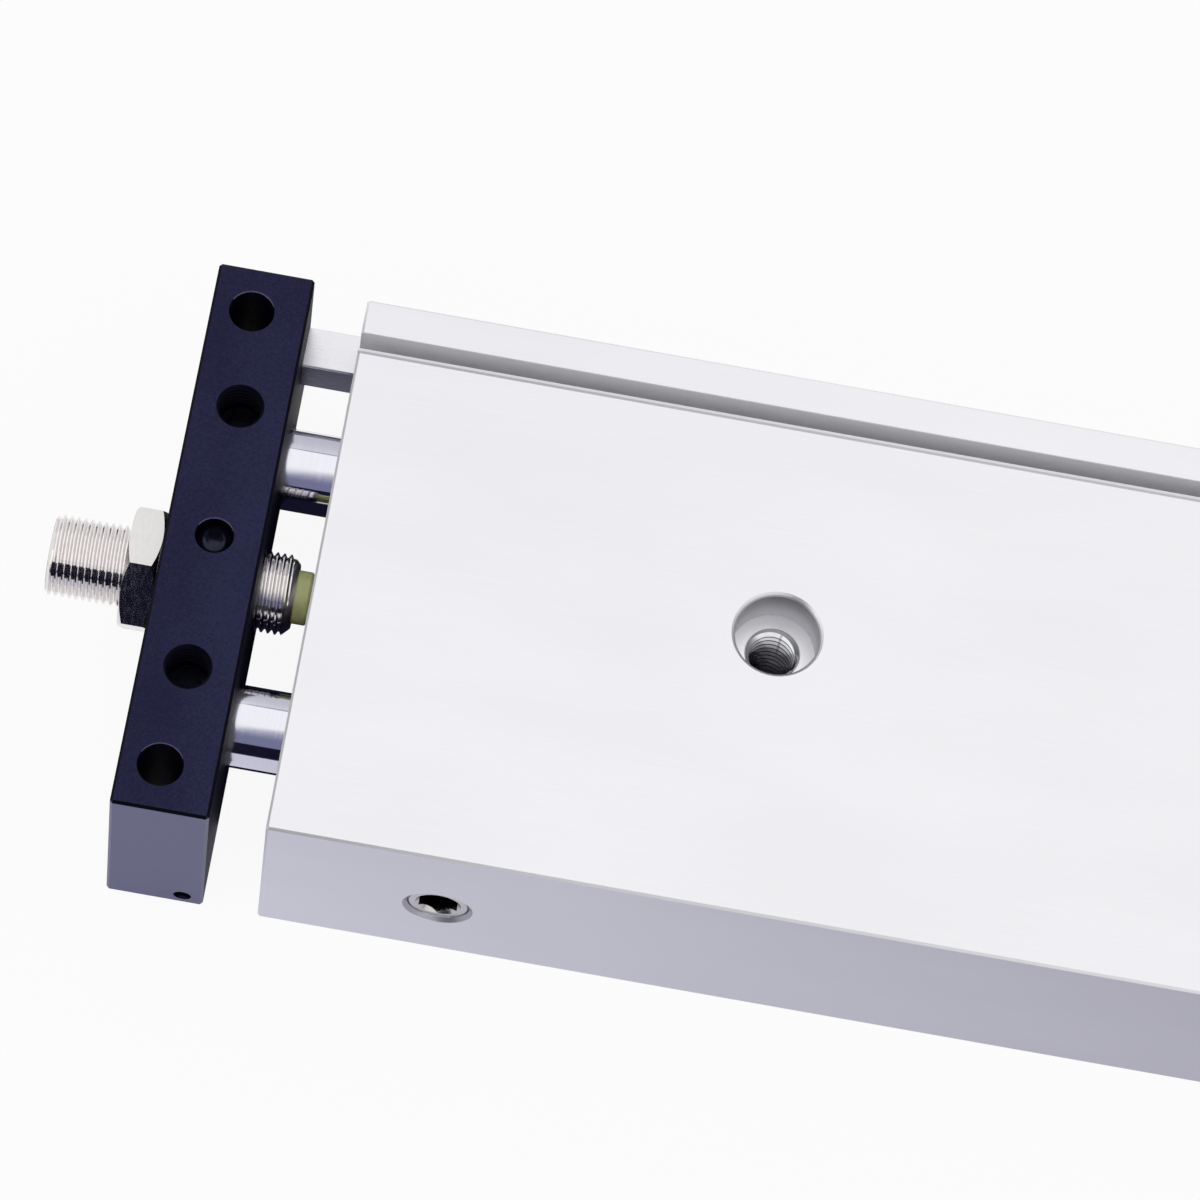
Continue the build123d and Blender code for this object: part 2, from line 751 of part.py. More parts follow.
for side_name, side in SIDES.items():
    save(f"port_plug_{side_name}", port_plug(side))
    save(f"end_plate_{side_name}", end_plate(side))
    save(f"clamp_screws_{side_name}", *[clamp_screw(side, lane) for lane in LANES.values()])
    save(f"lock_screw_{side_name}", lock_screw(side))
    save(f"passage_balls_{side_name}", *passage_balls(side))
    save(f"absorber_sleeve_{side_name}", absorber_sleeve(side))
    save(f"absorber_nut_{side_name}", lock_nut(side))
    save(f"absorber_guide_{side_name}", absorber_guide(side))
    save(f"plunger_{side_name}", plunger(side))
    save(f"plunger_cap_{side_name}", plunger_cap(side))
    save(f"plunger_spring_{side_name}", plunger_spring(side))
    for lane_name, lane in LANES.items():
        place = f"{lane_name}_{side_name}"
        save(f"rod_cover_{place}", rod_cover(side, lane))
        save(f"rod_bush_{place}", rod_bush(side, lane))
        save(f"rod_seal_{place}", rod_seal(side, lane))
        save(f"cover_o_ring_{place}", cover_o_ring(side, lane))
        save(f"circlip_{place}", circlip(side, lane))
        save(f"bumper_{place}", bumper(side, lane))
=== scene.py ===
# %% [markdown]
# # A pneumatic slide table, dressed for the studio
# The real thing is a flat aluminium body with two cylinders in it. Two chromed rods pass right
# through, and a black plate ties them together beyond each end. The solids, their sizes and their
# travel are already made, so this lesson only adds what the eye needs: finishes, true screw
# threads, a floor, light and a camera. Everything is in metres and in one frame, and each added
# piece takes its place from the solids.

# %% Load the frame
import json
import math

import bmesh
import bpy
from mathutils import Matrix, Quaternion, Vector


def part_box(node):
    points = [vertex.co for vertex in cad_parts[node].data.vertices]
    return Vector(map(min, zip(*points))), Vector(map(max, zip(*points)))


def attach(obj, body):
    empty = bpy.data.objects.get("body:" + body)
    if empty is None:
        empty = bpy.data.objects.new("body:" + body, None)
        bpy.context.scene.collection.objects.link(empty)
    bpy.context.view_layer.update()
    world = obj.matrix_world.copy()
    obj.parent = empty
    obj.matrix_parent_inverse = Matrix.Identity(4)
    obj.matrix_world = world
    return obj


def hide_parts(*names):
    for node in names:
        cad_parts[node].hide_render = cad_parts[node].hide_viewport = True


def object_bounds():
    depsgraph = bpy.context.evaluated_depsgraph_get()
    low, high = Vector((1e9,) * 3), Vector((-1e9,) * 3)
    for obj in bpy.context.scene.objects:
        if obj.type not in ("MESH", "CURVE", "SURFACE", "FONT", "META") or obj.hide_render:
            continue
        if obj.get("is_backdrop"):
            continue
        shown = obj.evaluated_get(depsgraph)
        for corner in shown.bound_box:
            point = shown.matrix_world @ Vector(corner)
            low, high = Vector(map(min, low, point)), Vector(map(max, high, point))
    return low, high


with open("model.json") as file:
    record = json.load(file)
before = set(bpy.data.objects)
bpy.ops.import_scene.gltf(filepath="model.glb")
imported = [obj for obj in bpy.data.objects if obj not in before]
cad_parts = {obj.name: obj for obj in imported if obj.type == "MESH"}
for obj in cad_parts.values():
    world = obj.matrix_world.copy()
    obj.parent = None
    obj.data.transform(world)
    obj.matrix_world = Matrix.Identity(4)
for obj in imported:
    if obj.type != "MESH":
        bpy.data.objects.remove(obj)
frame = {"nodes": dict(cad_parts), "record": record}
cad_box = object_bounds()
mm = 0.001

# %% [markdown]
# ## The camera
# The picture looks down on the left end of the table, steeply and from the front, with the
# camera rolled a little so that the body runs downhill to the right. The roll could be made by
# tilting the object, but then every other view would be crooked, so the camera carries it. The
# long lens keeps the edges nearly parallel, as in a product picture.

# %% Set up the camera
camera_place = Vector((-71.1, -374.6, 834.2)) * mm
camera_aim = Vector((-59.4, 8.1, 16.5)) * mm
camera_roll = math.radians(11.64)
camera_lens = 187.3

camera = bpy.data.objects.new("camera", bpy.data.cameras.new("camera"))
bpy.context.scene.collection.objects.link(camera)
camera.data.lens = camera_lens
camera.location = camera_place
camera.rotation_mode = "QUATERNION"
straight = (camera_aim - camera_place).to_track_quat("-Z", "Y")
camera.rotation_quaternion = straight @ Quaternion((0, 0, 1), camera_roll)
bpy.context.scene.camera = camera
print("camera to subject:", round((camera_aim - camera_place).length / mm), "mm")

# %% [markdown]
# ## Adding nodes without clutter
# A finish is a small tree of nodes. Blender can build one in the shader editor, but a script
# that wires each node by hand hides the idea under the wiring. One helper that makes a node,
# sets its plain inputs and links the others keeps each finish short enough to read. The helpers
# for sums and for mixed colours build on it.


# %% Helpers that make nodes
def add_node(tree, kind, values=None, links=None, **settings):
    """Make a node, set its inputs to plain values and link the others to their sources."""
    made = tree.nodes.new(kind)
    for name, value in settings.items():
        setattr(made, name, value)
    for name, value in (values or {}).items():
        made.inputs[name].default_value = value
    for name, source in (links or {}).items():
        tree.links.new(source, made.inputs[name])
    return made


def calculate(tree, operation, first, second=None):
    """The result of one sum on values that are plain numbers or come from other nodes."""
    made = add_node(tree, "ShaderNodeMath", operation=operation)
    for place, value in enumerate((first, second)):
        if isinstance(value, bpy.types.NodeSocket):
            tree.links.new(value, made.inputs[place])
        elif value is not None:
            made.inputs[place].default_value = value
    return made.outputs[0]


def larger(tree, first, second):
    """The larger of two values."""
    return calculate(tree, "MAXIMUM", first, second)


def seen_directly(tree):
    """1 where the camera, a reflection or a view through something looks, and 0 for other light."""
    path = add_node(tree, "ShaderNodeLightPath").outputs
    seen = larger(tree, path["Is Camera Ray"], path["Is Glossy Ray"])
    return larger(tree, seen, path["Is Transmission Ray"])


def mix(tree, share, first, second):
    """The first colour where the share is 0 and the second where it is 1."""
    made = add_node(tree, "ShaderNodeMix", data_type="RGBA")
    sockets = {socket.identifier: socket for socket in made.inputs}
    tree.links.new(share, sockets["Factor_Float"])
    for name, colour in (("A_Color", first), ("B_Color", second)):
        if isinstance(colour, bpy.types.NodeSocket):
            tree.links.new(colour, sockets[name])
        else:
            sockets[name].default_value = (*colour, 1.0)
    return next(socket for socket in made.outputs if socket.identifier == "Result_Color")


view_settings = bpy.context.scene.view_settings
view_settings.view_transform = "Standard"
print("colours are shown with:", view_settings.view_transform)

# %% [markdown]
# ## A white room
# The table stands on white with a soft shadow. More lamps would also turn the floor white, but
# they would bleach the pale metal with it. So the room sheds a mild light of its own, and only
# where the eye or a reflection meets it does it count as pure white. The floor mixes a real
# painted surface, which catches the shadow, with the same white.

# %% Build the room and the floor
room_light = 0.62
floor_paint = 0.9
floor_whiteness = 0.93
floor_size = 6.0

world = bpy.data.worlds.new("white_room")
world.use_nodes = True
bpy.context.scene.world = world
room_strength = add_node(
    world.node_tree,
    "ShaderNodeMapRange",
    values={"To Min": room_light, "To Max": 1.0},
    links={"Value": seen_directly(world.node_tree)},
)
background = world.node_tree.nodes["Background"]
background.inputs["Color"].default_value = (1.0, 1.0, 1.0, 1.0)
world.node_tree.links.new(room_strength.outputs[0], background.inputs["Strength"])


def flat_sheet(name, width, depth):
    """A flat rectangle at the origin that isn't part of the object."""
    mesh = bpy.data.meshes.new(name)
    x, y = width / 2, depth / 2
    mesh.from_pydata([(-x, -y, 0), (x, -y, 0), (x, y, 0), (-x, y, 0)], [], [(0, 1, 2, 3)])
    sheet = bpy.data.objects.new(name, mesh)
    bpy.context.scene.collection.objects.link(sheet)
    sheet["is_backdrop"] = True
    return sheet


floor = flat_sheet("floor", floor_size, floor_size)
floor_finish = bpy.data.materials.new("pale_floor")
floor_finish.use_nodes = True
tree = floor_finish.node_tree
paint = add_node(tree, "ShaderNodeBsdfDiffuse", values={"Color": (floor_paint,) * 3 + (1.0,)})
glow = add_node(tree, "ShaderNodeEmission", values={"Strength": 1.0})
share = add_node(
    tree,
    "ShaderNodeMapRange",
    values={"To Min": 0.0, "To Max": floor_whiteness},
    links={"Value": seen_directly(tree)},
)
mixed = add_node(tree, "ShaderNodeMixShader", links={0: share.outputs[0]})
tree.links.new(paint.outputs[0], mixed.inputs[1])
tree.links.new(glow.outputs[0], mixed.inputs[2])
tree.links.new(mixed.outputs[0], tree.nodes["Material Output"].inputs["Surface"])
floor.data.materials.append(floor_finish)
print("floor:", floor_size, "m square, paint", floor_paint)

# %% [markdown]
# ## Lamps
# One large soft lamp hangs overhead and a smaller one stands at the left. Both are weak: their
# work is to give the matt surfaces a direction and to leave a shadow, while the room does most of
# the lighting. A strong lamp would turn the pale body into a blank.

# %% Hang the lamps
lamps = {
    "overhead_lamp": {"place": (-0.35, 0.25, 1.3), "size": 2.2, "power": 2.6},
    "side_lamp": {"place": (-1.2, -0.5, 0.7), "size": 0.7, "power": 1.0},
}
for name, lamp in lamps.items():
    data = bpy.data.lights.new(name, "AREA")
    data.size = lamp["size"]
    data.energy = lamp["power"]
    hung = bpy.data.objects.new(name, data)
    hung.location = lamp["place"]
    hung.rotation_mode = "QUATERNION"
    hung.rotation_quaternion = (-hung.location).to_track_quat("-Z", "Y")
    bpy.context.scene.collection.objects.link(hung)
print("lamps:", len(lamps))

# %% [markdown]
# ## Cards for the reflections
# Shiny parts show the room more than they show the lamps, and in an all-white room a chromed rod
# is a blank white bar. A photographer stands cards just out of the picture, so that the rod gets
# crisp dark lines. Each card here stands upright along the table or lies on the floor. Its tone
# is given directly, from 0 for black to 1 for white, and only reflections see it: it blocks no
# light and never gets in the way of a camera. The upright cards stand beside the left end alone,
# so that the rods and the absorber show them, and the body stays bright. The dark cards under the
# body and in the gap between the left plate and the body are painted shade: reflections see them
# in place of the shade that falls there, and the one under the body keeps the glow of the floor
# out of the through holes. The card on the floor in front is a painted reflection, pale at the
# left and dark at the right, which darkens the body's front face towards the right.


# %% A helper that makes cards
def card(name, width, height, first, second):
    """A card whose tone moves from one colour at its low Y edge to another at its high Y edge."""
    finish = bpy.data.materials.new(name)
    finish.use_nodes = True
    finish.cycles.emission_sampling = "NONE"
    tree = finish.node_tree
    tree.nodes.remove(tree.nodes["Principled BSDF"])
    place = add_node(tree, "ShaderNodeTexCoord").outputs["Generated"]
    share = add_node(tree, "ShaderNodeSeparateXYZ", links={0: place}).outputs["Y"]
    glow = add_node(tree, "ShaderNodeEmission", links={"Color": mix(tree, share, first, second)})
    tree.links.new(glow.outputs[0], tree.nodes["Material Output"].inputs["Surface"])
    sheet = flat_sheet(name, width, height)
    sheet.data.materials.append(finish)
    sheet.visible_camera = False
    sheet.visible_diffuse = False
    sheet.visible_transmission = False
    sheet.visible_shadow = False
    return sheet


def stand_card(name, left, right, y, bottom, top, lower, upper):
    """An upright card along the table, with one tone at its bottom and one at its top."""
    sheet = card(name, right - left, top - bottom, lower, upper)
    sheet.location = ((left + right) / 2, y, (bottom + top) / 2)
    sheet.rotation_euler.x = math.radians(90)


def lay_card(name, left, right, near, far, left_tone, right_tone, layer=1):
    """A card that lies on the floor, with one tone at its left and one at its right. A card in a
    higher layer covers the ones under it."""
    sheet = card(name, far - near, right - left, left_tone, right_tone)
    sheet.location = ((left + right) / 2, (near + far) / 2, layer * card_above_floor)
    sheet.rotation_euler.z = math.radians(-90)


# %% Stand the upright cards
black = (0.008, 0.008, 0.022)
blue_grey = (0.22, 0.225, 0.36)
pale_lavender = (0.98, 0.98, 1.0)
card_grey = (0.60, 0.60, 0.66)
card_pale = (0.82, 0.82, 0.87)
rim_grey = (0.28, 0.28, 0.32)
front_y, front_left, front_right = -0.35, -0.50, -0.085
back_y, back_left, back_right = 0.167, -0.118, -0.060
sleeve_card_end, sleeve_card_top = -0.135, 0.33
rod_black_top, rod_blue_top, rod_pale_top = 0.15, 0.36, 1.3
back_card_top, back_rim_top = 0.207, 0.226

upright_cards = {
    "sleeve_card": (front_left, sleeve_card_end, front_y, 0.0, sleeve_card_top, black, black),
    "rod_low_card": (sleeve_card_end, front_right, front_y, 0.0, rod_black_top, black, black),
    "rod_middle_card": (
        sleeve_card_end, front_right, front_y, rod_black_top, rod_blue_top, blue_grey, blue_grey,
    ),
    "rod_high_card": (
        sleeve_card_end, front_right, front_y, rod_blue_top, rod_pale_top, blue_grey, pale_lavender,
    ),
    "back_card": (back_left, back_right, back_y, 0.0, back_card_top, card_grey, card_pale),
    "back_card_rim": (back_left, back_right, back_y, back_card_top, back_rim_top, rim_grey, rim_grey),
}
for name, measures in upright_cards.items():
    stand_card(name, *measures)
print("upright cards:", len(upright_cards), "up to", rod_pale_top, "m high")

# %% Lay the cards on the floor
card_above_floor = 0.1 * mm
floor_left = (0.84, 0.84, 0.95)
floor_right = (0.29, 0.285, 0.33)
rail_shadow = (0.13, 0.13, 0.17)
body_low, body_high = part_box("body_extrusion")
gap_left, gap_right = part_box("end_plate_left")[1].x, body_low.x
rail_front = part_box("rail")[0].y
far_card_side, far_card_start = 0.5, -1.0
floor_card_side = 0.2
dark_floor_end = -0.157
dark_gap_end = -0.095
rod_card_start = -30 * mm
rail_card_start = rail_front - 11 * mm
front_under_plate, back_under_plate = 10 * mm, 6 * mm

lay_card("far_floor_card", -far_card_side, far_card_side, far_card_start, dark_floor_end, black, black)
# The black card under the body is painted shade: reflections see it in place of the shade under the
# body.
lay_card("under_body_shade_card", gap_right, body_high.x, rod_card_start, body_high.y, black, black)
# The floor card is a painted reflection: pale at the left and dark at the right, it darkens the body's
# front face towards the right.
lay_card(
    "floor_card", -floor_card_side, floor_card_side, dark_floor_end, rod_card_start,
    floor_left, floor_right,
)
lay_card(
    "gap_floor_card", gap_left - front_under_plate, gap_right, dark_floor_end, dark_gap_end,
    black, black, layer=2,
)
# The cards in the gap between the left plate and the body are painted shade for the shade that falls
# there.
lay_card(
    "rod_gap_shade_card", gap_left - back_under_plate, gap_right, rod_card_start, rail_card_start,
    black, black,
)
# Painted shade on the floor in front of the rail, in the gap.
lay_card("rail_gap_shade_card", gap_left, gap_right, rail_card_start, rail_front, rail_shadow, rail_shadow)
print("the gap that the dark cards lie in:", round((gap_right - gap_left) / mm, 1), "mm")

# %% [markdown]
# ## A finish for plain stock
# No machined surface is one flat colour. It has wide, faint clouds from the anodising bath or
# the plating, fine marks from the tool, and a gloss that follows them. Painted images could hold
# that, but they have one fixed sharpness. Noise that is measured in millimetres on the piece
# itself stays sharp at any distance, and moves with the piece.


# %% Helpers for finishes in millimetres
def on_piece(tree, size):
    """Places on the piece, counted in steps of `size` mm along X, Y and Z."""
    place = add_node(tree, "ShaderNodeTexCoord").outputs["Object"]
    steps = [1 / (length * mm) for length in size]
    return add_node(tree, "ShaderNodeMapping", {"Scale": steps}, {"Vector": place}).outputs[0]


def noise(tree, size, detail=3.0):
    """Noise whose marks are about `size` mm long along X, Y and Z."""
    source = {"Vector": on_piece(tree, size)}
    return add_node(tree, "ShaderNodeTexNoise", {"Scale": 1.0, "Detail": detail}, source).outputs[0]


def average(tree, first, second):
    """The mean of two values."""
    return calculate(tree, "MULTIPLY", calculate(tree, "ADD", first, second), 0.5)


def between(tree, value, low, high, from_low=0.35, from_high=0.65):
    """A value that moves from low to high while the given one moves between two limits."""
    limits = {"From Min": from_low, "From Max": from_high, "To Min": low, "To Max": high}
    return add_node(tree, "ShaderNodeMapRange", limits, {"Value": value}).outputs[0]


def colours(tree, value, dark, light, dark_at=0.38, light_at=0.62):
    """A colour that moves from dark to light as the value does."""
    ramp = add_node(tree, "ShaderNodeValToRGB", links={"Fac": value})
    for stop, colour, place in zip(ramp.color_ramp.elements, (dark, light), (dark_at, light_at)):
        stop.color = (*colour, 1.0)
        stop.position = place
    return ramp.outputs[0]


def stock_finish(name, dark, light, marks, gloss, depth, metallic=1.0, clouds=(25, 25, 25)):
    """A finish for a piece: two colours, the size of its tool marks in mm, the least and most
    roughness, and how deep the marks are in mm."""
    finish = bpy.data.materials.new(name)
    finish.use_nodes = True
    tree = finish.node_tree
    shader = tree.nodes["Principled BSDF"]
    fine = noise(tree, marks)
    mixed = average(tree, fine, noise(tree, clouds, detail=2.0))
    tree.links.new(colours(tree, mixed, dark, light), shader.inputs["Base Color"])
    tree.links.new(between(tree, fine, *gloss), shader.inputs["Roughness"])
    relief = add_node(tree, "ShaderNodeBump", {"Distance": depth * mm}, {"Height": fine})
    tree.links.new(relief.outputs[0], shader.inputs["Normal"])
    shader.inputs["Metallic"].default_value = metallic
    return finish


def shader_of(finish):
    """The surface shader of a finish."""
    return finish.node_tree.nodes["Principled BSDF"]


# %% [markdown]
# ## Marking a part of a piece
# Holes, edges and cut faces get tones of their own, painted light and painted shade. The mesh could
# be cut into patches with a finish for each, but the solids are better left alone. So a finish works
# out a mask from the place and the direction of the surface, both counted on the piece: 1 where the
# other tone belongs and 0 elsewhere. The mask moves with the piece and looks the same from every side.

# %% Helpers that mark a part of a piece
faces_along_axis = 0.9
slopes_between_axes = 0.4


def place_along(tree, axis):
    """How far a point lies along an axis of the piece, in metres."""
    place = add_node(tree, "ShaderNodeTexCoord").outputs["Object"]
    return add_node(tree, "ShaderNodeSeparateXYZ", links={0: place}).outputs[axis]


def direction_parts(tree):
    """The direction that the surface faces, as its parts along X, Y and Z of the piece."""
    normal = add_node(tree, "ShaderNodeTexCoord").outputs["Normal"]
    return add_node(tree, "ShaderNodeSeparateXYZ", links={0: normal}).outputs


def facing(tree, axis):
    """1 where the surface faces along an axis of the piece, either way, and 0 elsewhere."""
    part = calculate(tree, "ABSOLUTE", direction_parts(tree)[axis])
    return calculate(tree, "GREATER_THAN", part, faces_along_axis)


def edge_between(tree, first, second):
    """1 on an edge that slopes between the faces along two axes of the piece, and 0 elsewhere."""
    parts = direction_parts(tree)
    product = calculate(tree, "MULTIPLY", parts[first], parts[second])
    return calculate(tree, "GREATER_THAN", calculate(tree, "ABSOLUTE", product), slopes_between_axes)


def inside(tree, low, high):
    """1 at the places of the piece that lie inside a box, and 0 elsewhere."""
    middle, half = {1: (low + high) / 2}, {1: (high - low) / 2}
    place = add_node(tree, "ShaderNodeTexCoord").outputs["Object"]
    moved = add_node(tree, "ShaderNodeVectorMath", middle, {0: place}, operation="SUBTRACT").outputs[0]
    away = add_node(tree, "ShaderNodeVectorMath", links={0: moved}, operation="ABSOLUTE").outputs[0]
    beyond = add_node(tree, "ShaderNodeVectorMath", half, {0: away}, operation="SUBTRACT").outputs[0]
    parts = add_node(tree, "ShaderNodeSeparateXYZ", links={0: beyond}).outputs
    most = larger(tree, larger(tree, parts["X"], parts["Y"]), parts["Z"])
    return calculate(tree, "LESS_THAN", most, 0.0)


def but_not(tree, mask, other):
    """The first mask with the other one taken away."""
    return larger(tree, calculate(tree, "SUBTRACT", mask, other), 0.0)


def corners_of(node):
    """The low and the high corner of a solid, counted on the solid itself."""
    corners = [Vector(corner) for corner in frame["nodes"][node].bound_box]
    return min(corners, key=sum), max(corners, key=sum)


def recolour(finish, mask, colour):
    """Give a finish another colour where the mask is 1."""
    tree, base = finish.node_tree, shader_of(finish).inputs["Base Color"]
    tree.links.new(mix(tree, mask, base.links[0].from_socket, colour), base)


# %% [markdown]
# ## Clear anodised aluminium
# The body is an extrusion, blasted or brushed along its length and then clear anodised, which
# leaves a pale satin metal with very faint lines along it. A mirror-like metal would be too
# dark and too sharp, so the roughness is high and the lines are long and shallow. The walls of
# the holes are painted darker, a painted shade for the shade inside them, and their floors are
# painted brighter than the body, painted light that makes up for that shade. The groove is
# painted lighter than the body, most at its bottom and less at its mouth, painted light that
# lifts the shade of the narrow groove, and it is made less metallic. The ledge beside it is
# painted darker, a painted shade. Boxes mark the holes, the groove and the ledge.

# %% Finish the body
body_finish = stock_finish(
    "clear_anodised_aluminium",
    dark=(0.765, 0.76, 0.785),
    light=(0.795, 0.79, 0.815),
    marks=(14, 0.25, 0.25),
    gloss=(0.40, 0.46),
    depth=0.0015,
    clouds=(45, 16, 16),
)
tree = body_finish.node_tree
low, high = corners_of("body_extrusion")
print("body finish:", body_finish.name)

# %% Recolour the holes in the body
# The hole walls are painted darker, a painted shade, and the hole floors brighter than the body,
# painted light against that shade.
bored_wall_painted_shade = (0.45, 0.45, 0.48)
bored_floor_painted_light = (0.97, 0.97, 0.98)
groove_front, groove_back = 33.2 * mm, 35.7 * mm
end_skin, front_skin, bottom_skin, top_skin = 1.5 * mm, 0.05 * mm, 1.0 * mm, 0.3 * mm

bored_low = low + Vector((end_skin, front_skin, bottom_skin))
bored_high = Vector((high.x - end_skin, groove_front, high.z - top_skin))
bored = inside(tree, bored_low, bored_high)
recolour(body_finish, bored, bored_floor_painted_light)
recolour(body_finish, but_not(tree, bored, facing(tree, "Z")), bored_wall_painted_shade)
print("holes are marked up to", round(bored_high.z / mm, 1), "mm above the floor")

# %% Recolour the ledge and the groove
# The ledge beside the groove is painted darker than the body, a painted shade.
ledge_painted_shade = (0.62, 0.62, 0.65)
groove_mouth_painted_light = (0.86, 0.86, 0.88)
groove_depth_painted_light = (0.98, 0.98, 1.0)
groove_metal = 0.15
groove_neck = 5.0 * mm
groove_skin = 0.1 * mm
ledge_front, ledge_drop, ledge_skin = 32.35 * mm, 0.4 * mm, 0.01 * mm

ledge_low = Vector((low.x, ledge_front, high.z - ledge_drop))
ledge_high = Vector((high.x, groove_back, high.z - ledge_skin))
recolour(body_finish, inside(tree, ledge_low, ledge_high), ledge_painted_shade)
# The groove is painted lighter than the body, most at its bottom and less at its mouth: painted light
# that lifts the shade of the narrow groove.
groove_low = Vector((low.x, groove_front, high.z / 2))
groove_high = Vector((high.x, groove_back, high.z - groove_skin))
in_groove = inside(tree, groove_low, groove_high)
height = place_along(tree, "Z")
near_mouth = between(tree, height, 0.0, 1.0, from_low=high.z - groove_neck, from_high=high.z)
recolour(body_finish, in_groove, mix(tree, near_mouth, groove_depth_painted_light, groove_mouth_painted_light))
metal = between(tree, in_groove, 1.0, groove_metal, from_low=0.0, from_high=1.0)
tree.links.new(metal, shader_of(body_finish).inputs["Metallic"])
print("groove width:", round((groove_back - groove_front) / mm, 1), "mm")

# %% Finish the rail
rail_finish = stock_finish(
    "drawn_aluminium",
    dark=(0.74, 0.74, 0.77),
    light=(0.77, 0.77, 0.80),
    marks=(20, 0.12, 0.12),
    gloss=(0.26, 0.30),
    depth=0.0005,
)
print("rail finish:", rail_finish.name)

# %% [markdown]
# ## Black anodised plates
# The end plates are cut from a flat bar, finely blasted and dyed black in the anodising bath. The
# dye leans to blue, and the layer is more like a glaze than like metal, so this finish isn't
# metallic. The bar's cut ends are painted greyer than the long faces, a painted sheen for the light
# they reflect, and their upright edges are paler still, a painted highlight. The bores and the level
# edges are painted nearly black, and the wide faces darker than the rest: painted shade. The gloss
# is one low value for the whole plate.

# %% Finish the end plates
cut_end_painted_sheen = (0.205, 0.205, 0.33)
edge_painted_highlight = (0.26, 0.26, 0.36)
wide_face_painted_shade = (0.011, 0.011, 0.022)
bore_painted_shade = (0.002, 0.002, 0.007)
bore_below_surface = 0.45 * mm
plate_shine = 0.05


def plate_finish_of(side):
    """The black finish of one plate, with the painted sheen of its cut ends, the painted highlight
    of its edges and the painted shade of its bores and wide faces.
    """
    finish = stock_finish(
        f"black_anodised_{side}",
        dark=(0.017, 0.018, 0.052),
        light=(0.030, 0.031, 0.080),
        marks=(0.35, 0.35, 0.35),
        gloss=(0.50, 0.60),
        depth=0.006,
        metallic=0.0,
        clouds=(18, 30, 18),
    )
    tree = finish.node_tree
    low, high = corners_of(f"end_plate_{side}")
    inset = Vector((1, 1, 1)) * bore_below_surface
    # The cut ends are painted paler: a painted sheen for the light they reflect.
    recolour(finish, facing(tree, "Y"), cut_end_painted_sheen)
    # The upright edges get a paler painted highlight.
    recolour(finish, edge_between(tree, "X", "Y"), edge_painted_highlight)
    # The wide faces are painted darker than the rest: a painted shade.
    recolour(finish, facing(tree, "X"), wide_face_painted_shade)
    # The bores, and with them the level edges, are painted nearly black: a painted shade.
    recolour(finish, edge_between(tree, "X", "Z"), bore_painted_shade)
    recolour(finish, edge_between(tree, "Y", "Z"), bore_painted_shade)
    recolour(finish, inside(tree, low + inset, high - inset), bore_painted_shade)
    shader_of(finish).inputs["Specular IOR Level"].default_value = plate_shine
    return finish


plate_finishes = {side: plate_finish_of(side) for side in ("left", "right")}
# The linings of the plates' tapped holes are painted nearly black: a painted shade for the depth of the
# holes.
lining_painted_shade_finish = stock_finish(
    "bore_lining_painted_shade",
    dark=(0.001, 0.001, 0.005),
    light=(0.003, 0.003, 0.010),
    marks=(0.3, 0.3, 0.3),
    gloss=(0.50, 0.60),
    depth=0.002,
    metallic=0.0,
)
shader_of(lining_painted_shade_finish).inputs["Specular IOR Level"].default_value = plate_shine
print("plate finishes:", [finish.name for finish in (*plate_finishes.values(), lining_painted_shade_finish)])

# %% [markdown]
# ## Chrome, nickel and steel
# The rods are ground round and hard chromed, so their marks run round them and are almost too
# fine to see. The absorber and its nut are nickel plated, a warmer and duller bright metal, and
# the nut is duller still where spanners have rubbed it. The port plugs are steel, and the sockets
# in them are painted dark, a painted shade for the hollow. The set screws are blackened steel with
# a trace of oil. A tapped thread is bright at its mouth and is painted darker farther down, a
# painted shade for the depth of the hole.

# %% Finish the bright metals
rod_finish = stock_finish(
    "hard_chrome",
    dark=(0.70, 0.70, 0.76),
    light=(0.75, 0.75, 0.81),
    marks=(0.08, 6, 6),
    gloss=(0.05, 0.09),
    depth=0.0004,
)
nickel_finish = stock_finish(
    "nickel_plate",
    dark=(0.74, 0.715, 0.71),
    light=(0.79, 0.765, 0.76),
    marks=(0.9, 0.9, 0.9),
    gloss=(0.09, 0.12),
    depth=0.0002,
)
nut_finish = stock_finish(
    "handled_nickel",
    dark=(0.62, 0.60, 0.60),
    light=(0.70, 0.68, 0.68),
    marks=(0.4, 1.6, 1.6),
    gloss=(0.13, 0.22),
    depth=0.002,
)
turned_finish = stock_finish(
    "turned_aluminium",
    dark=(0.60, 0.60, 0.62),
    light=(0.76, 0.76, 0.78),
    marks=(0.15, 4, 4),
    gloss=(0.28, 0.38),
    depth=0.004,
)
spring_finish = stock_finish(
    "spring_steel",
    dark=(0.30, 0.29, 0.28),
    light=(0.46, 0.45, 0.44),
    marks=(0.3, 0.3, 0.3),
    gloss=(0.25, 0.35),
    depth=0.003,
)
print("bright finishes:", [m.name for m in (rod_finish, nickel_finish, nut_finish, turned_finish)])

# %% Finish the plugs and their sockets
plug_finish = stock_finish(
    "steel_plug",
    dark=(0.62, 0.60, 0.58),
    light=(0.74, 0.72, 0.70),
    marks=(0.5, 0.5, 0.5),
    gloss=(0.18, 0.28),
    depth=0.001,
)
# Deeper than the socket's mouth the plug is painted dark: a painted shade inside the socket.
socket_painted_shade = (0.035, 0.025, 0.022)
socket_mouth = 0.7 * mm
plug_low, plug_high = corners_of("port_plug_left")
socket_low = Vector((body_low.x, plug_low.y + socket_mouth, plug_low.z))
socket_high = Vector((body_high.x, plug_high.y, plug_high.z))
recolour(plug_finish, inside(plug_finish.node_tree, socket_low, socket_high), socket_painted_shade)
print("plug finish:", plug_finish.name)

